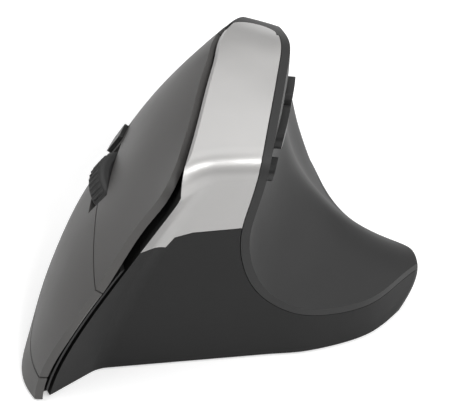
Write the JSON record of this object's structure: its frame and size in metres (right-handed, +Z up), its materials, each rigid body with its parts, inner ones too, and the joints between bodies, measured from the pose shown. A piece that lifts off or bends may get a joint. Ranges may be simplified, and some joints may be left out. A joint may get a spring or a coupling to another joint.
{
  "type": "vertical ergonomic mouse",
  "caption": "Right-handed upright wireless mouse with a finger-side panel, silver ridge cover, thumb scoop and shelf, scroll wheel and side buttons.",
  "frame": {"origin": "centre of the footprint's bounding box on the table, at the underside of the glide feet", "axes": "-Y points to the front (fingertip end), +X to the thumb side, -X to the finger side, +Z up"},
  "size_m": [0.1028, 0.1182, 0.0729],
  "materials": {
    "finger_panel": "satin dark grey",
    "silver_cover": "satin silver paint on plastic",
    "black_shell": "fine matt black",
    "thumb_rubber": "soft-touch dark grey",
    "base_black": "matt black",
    "key_dark": "satin near-black",
    "tyre_grey": "matt grey rubber",
    "hub_dark": "black plastic",
    "inner_plastic": "dark moulded plastic",
    "ivory_plastic": "natural plastic",
    "bright_inset": "bright trim",
    "board_green": "green board",
    "chip_black": "moulded chip",
    "lens_clear": "clear lens",
    "glide_pad": "smooth low-friction pad",
    "steel": "steel",
    "cell_wrap": "plain cell wrap",
    "ribbon": "flat flexible cable",
    "switch_case": "moulded switch"
  },
  "bodies": {
    "housing": {"base_plate": "base_black", "base_screws": "steel", "board_screws": "steel", "cell": "cell_wrap", "cell_holder": "inner_plastic", "cell_terminal": "steel", "contact_plate": "steel", "contact_spring": "steel", "controller_chip": "chip_black", "dpi_switch": "switch_case", "finger_board": "board_green", "finger_frame": "inner_plastic", "finger_ribbon": "ribbon", "finger_shell": "finger_panel", "front_shell": "black_shell", "glide_feet": "glide_pad", "hinge_pins": "steel", "main_board": "board_green", "main_switches": "switch_case", "optical_sensor": "chip_black", "power_switch": "switch_case", "radio_chip": "chip_black", "ridge_cover": "silver_cover", "sensor_glide": "glide_pad", "sensor_lens": "lens_clear", "thumb_board": "board_green", "thumb_ribbon": "ribbon", "thumb_shell": "thumb_rubber", "thumb_switches": "switch_case", "wheel_detector": "chip_black", "wheel_emitter": "chip_black", "wheel_guide": "inner_plastic", "wheel_switch": "switch_case"},
    "index_button": {"index_key": "finger_panel"},
    "index_switch": {"index_plunger": "ivory_plastic"},
    "middle_button": {"middle_key": "finger_panel"},
    "middle_switch": {"middle_plunger": "ivory_plastic"},
    "wheel_carriage": {"wheel_carrier": "inner_plastic"},
    "wheel": {"wheel_hub": "hub_dark", "wheel_tyre": "tyre_grey", "wheel_axle": "steel"},
    "wheel_click_switch": {"wheel_plunger": "ivory_plastic"},
    "dpi_button": {"dpi_key": "key_dark", "dpi_inset": "bright_inset"},
    "dpi_click_switch": {"dpi_plunger": "ivory_plastic"},
    "thumb_button_rear": {"thumb_key_rear": "key_dark"},
    "thumb_switch_rear": {"thumb_plunger_rear": "ivory_plastic"},
    "thumb_button_mid": {"thumb_key_mid": "key_dark"},
    "thumb_switch_mid": {"thumb_plunger_mid": "ivory_plastic"},
    "thumb_button_front": {"thumb_key_front": "key_dark"},
    "thumb_switch_front": {"thumb_plunger_front": "ivory_plastic"},
    "power": {"power_slider": "ivory_plastic"},
    "door": {"cell_door": "base_black"},
    "receiver": {"receiver_grip": "base_black", "receiver_plug": "steel"}
  },
  "joints": [
    {"name": "index_press", "type": "hinge", "parent": "housing", "child": "index_button", "pos_m": [-0.01705, 0.0117, 0.04921], "axis": [0.5591, 0, 0.8291], "range_deg": [0, 0.4], "stiffness_Nm_per_rad": 1.6, "springref_deg": -1.15},
    {"name": "middle_press", "type": "hinge", "parent": "housing", "child": "middle_button", "pos_m": [-0.03274, 0.0117, 0.01879], "axis": [0.5591, 0, 0.8291], "range_deg": [0, 0.4], "stiffness_Nm_per_rad": 1.6, "springref_deg": -1.15},
    {"name": "index_switch_travel", "type": "slide", "parent": "housing", "child": "index_switch", "axis": [0.8291, 0, -0.5591], "range_m": [0, 0.0006]},
    {"name": "middle_switch_travel", "type": "slide", "parent": "housing", "child": "middle_switch", "axis": [0.8291, 0, -0.5591], "range_m": [0, 0.0006]},
    {"name": "wheel_click", "type": "slide", "parent": "housing", "child": "wheel_carriage", "axis": [0.8291, 0, -0.5591], "range_m": [0, 0.0004], "stiffness_N_per_m": 900, "springref_m": -0.0006},
    {"name": "wheel_spin", "type": "hinge", "parent": "wheel_carriage", "child": "wheel", "pos_m": [-0.0263, -0.0123, 0.03495], "axis": [0.5591, 0, 0.8291], "continuous": true},
    {"name": "wheel_switch_travel", "type": "slide", "parent": "housing", "child": "wheel_click_switch", "axis": [0.8291, 0, -0.5591], "range_m": [0, 0.0004]},
    {"name": "dpi_press", "type": "slide", "parent": "housing", "child": "dpi_button", "axis": [0.8291, 0, -0.5591], "range_m": [0, 0.0003], "stiffness_N_per_m": 700, "springref_m": -0.0005},
    {"name": "dpi_switch_travel", "type": "slide", "parent": "housing", "child": "dpi_click_switch", "axis": [0.8291, 0, -0.5591], "range_m": [0, 0.0003]},
    {"name": "thumb_rear_press", "type": "slide", "parent": "housing", "child": "thumb_button_rear", "axis": [-1, 0, 0], "range_m": [0, 0.0005], "stiffness_N_per_m": 700, "springref_m": -0.0005},
    {"name": "thumb_rear_switch_travel", "type": "slide", "parent": "housing", "child": "thumb_switch_rear", "axis": [-1, 0, 0], "range_m": [0, 0.0005]},
    {"name": "thumb_mid_press", "type": "slide", "parent": "housing", "child": "thumb_button_mid", "axis": [-1, 0, 0], "range_m": [0, 0.0005], "stiffness_N_per_m": 700, "springref_m": -0.0005},
    {"name": "thumb_mid_switch_travel", "type": "slide", "parent": "housing", "child": "thumb_switch_mid", "axis": [-1, 0, 0], "range_m": [0, 0.0005]},
    {"name": "thumb_front_press", "type": "slide", "parent": "housing", "child": "thumb_button_front", "axis": [-1, 0, 0], "range_m": [0, 0.0005], "stiffness_N_per_m": 700, "springref_m": -0.0005},
    {"name": "thumb_front_switch_travel", "type": "slide", "parent": "housing", "child": "thumb_switch_front", "axis": [-1, 0, 0], "range_m": [0, 0.0005]},
    {"name": "power_slide", "type": "slide", "parent": "housing", "child": "power", "axis": [0, 1, 0], "range_m": [0, 0.0026]},
    {"name": "door_slide", "type": "slide", "parent": "housing", "child": "door", "axis": [0, 1, 0], "range_m": [0, 0.003]},
    {"name": "receiver_pull", "type": "slide", "parent": "housing", "child": "receiver", "axis": [0, 0, -1], "range_m": [0, 0.012]}
  ],
  "couplings": [
    {"joint": "index_switch_travel", "follows": "index_press", "m_per_rad": 0.04},
    {"joint": "middle_switch_travel", "follows": "middle_press", "m_per_rad": 0.04},
    {"joint": "wheel_switch_travel", "follows": "wheel_click", "ratio": 1},
    {"joint": "dpi_switch_travel", "follows": "dpi_press", "ratio": 1},
    {"joint": "thumb_rear_switch_travel", "follows": "thumb_rear_press", "ratio": 1},
    {"joint": "thumb_mid_switch_travel", "follows": "thumb_mid_press", "ratio": 1},
    {"joint": "thumb_front_switch_travel", "follows": "thumb_front_press", "ratio": 1}
  ]
}
